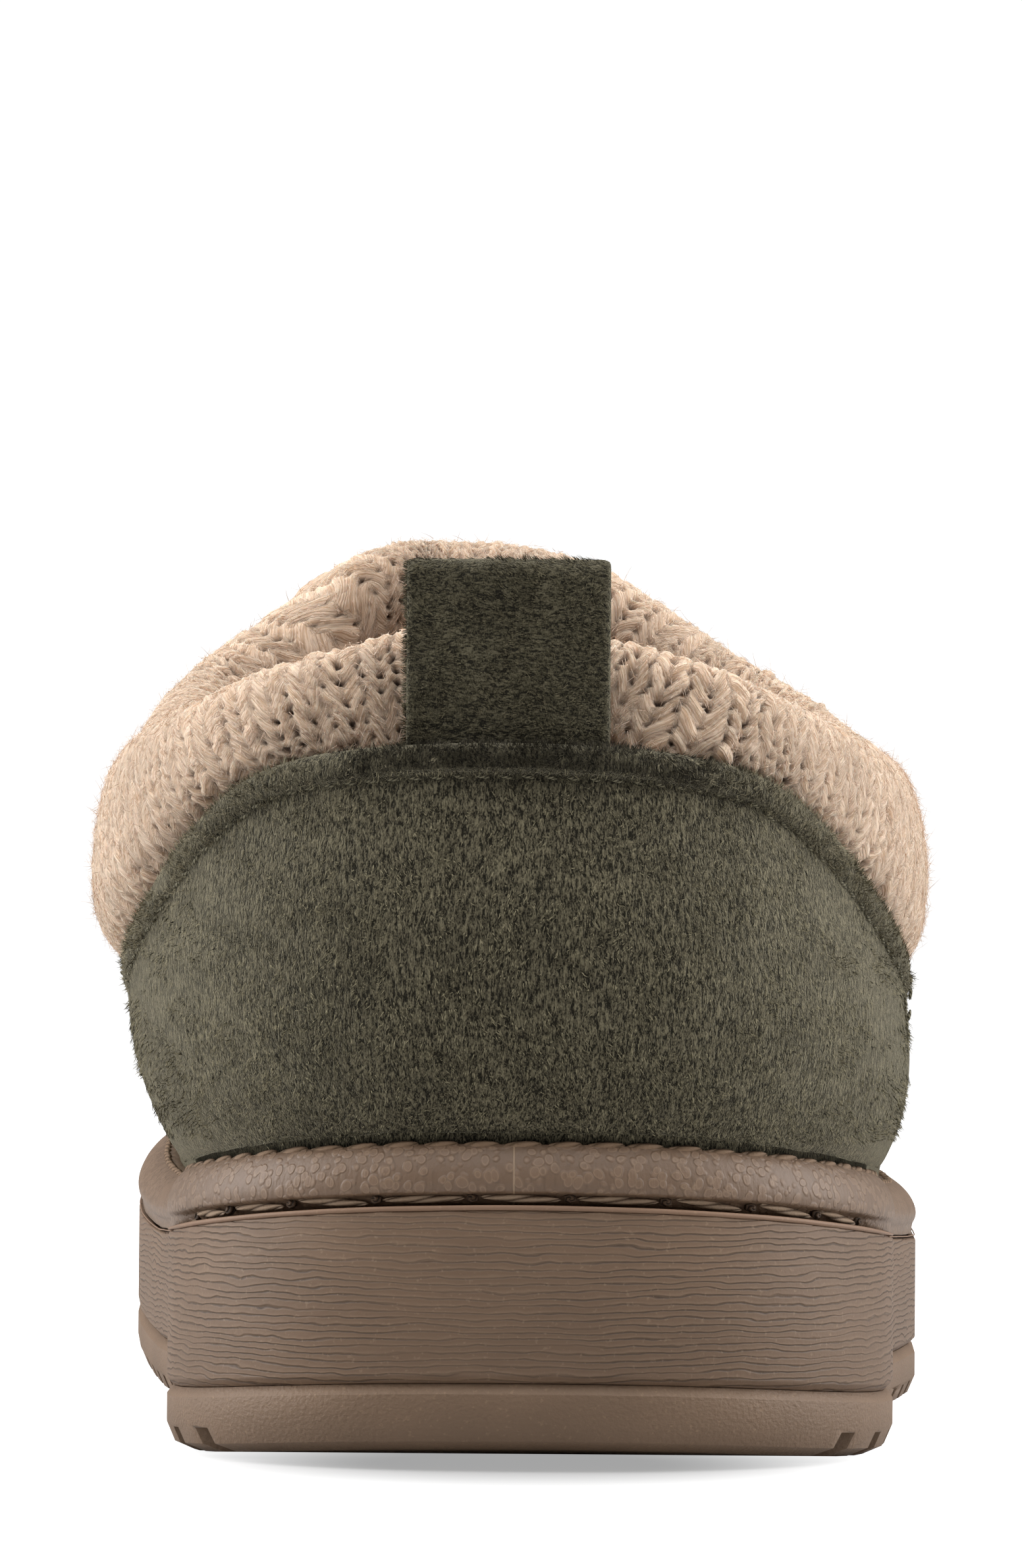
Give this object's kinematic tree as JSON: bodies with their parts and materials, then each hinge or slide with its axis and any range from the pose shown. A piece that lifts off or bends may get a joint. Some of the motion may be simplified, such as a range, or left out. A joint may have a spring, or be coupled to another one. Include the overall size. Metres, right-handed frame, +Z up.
{
  "type": "platform slip-on clog",
  "caption": "Right-foot slip-on clog: suede upper with heel counter and pull loop, puffy knitted collar, stitched welt and wrinkled platform sole.",
  "frame": {"origin": "on the floor under the middle of the shoe's length and width", "axes": "+Y to the toe, +X to the outer side of the foot, +Z up"},
  "size_m": [0.1004, 0.2748, 0.1059],
  "materials": {
    "sole": "matte, warm taupe brown",
    "midsole": "matte foam rubber with level bark-like wrinkles",
    "welt": "grained, softly shiny",
    "fleece": "short fleece",
    "suede": "short nap, dark olive green",
    "knit": "chunky brushed yarn, beige"
  },
  "bodies": {
    "root": {"outsole": "sole", "midsole": "midsole", "welt": "welt", "insole": "fleece", "upper": "suede", "heel_counter": "suede", "topline_binding": "suede", "knit_collar": "knit", "pull_tab": "suede"}
  },
  "joints": []
}
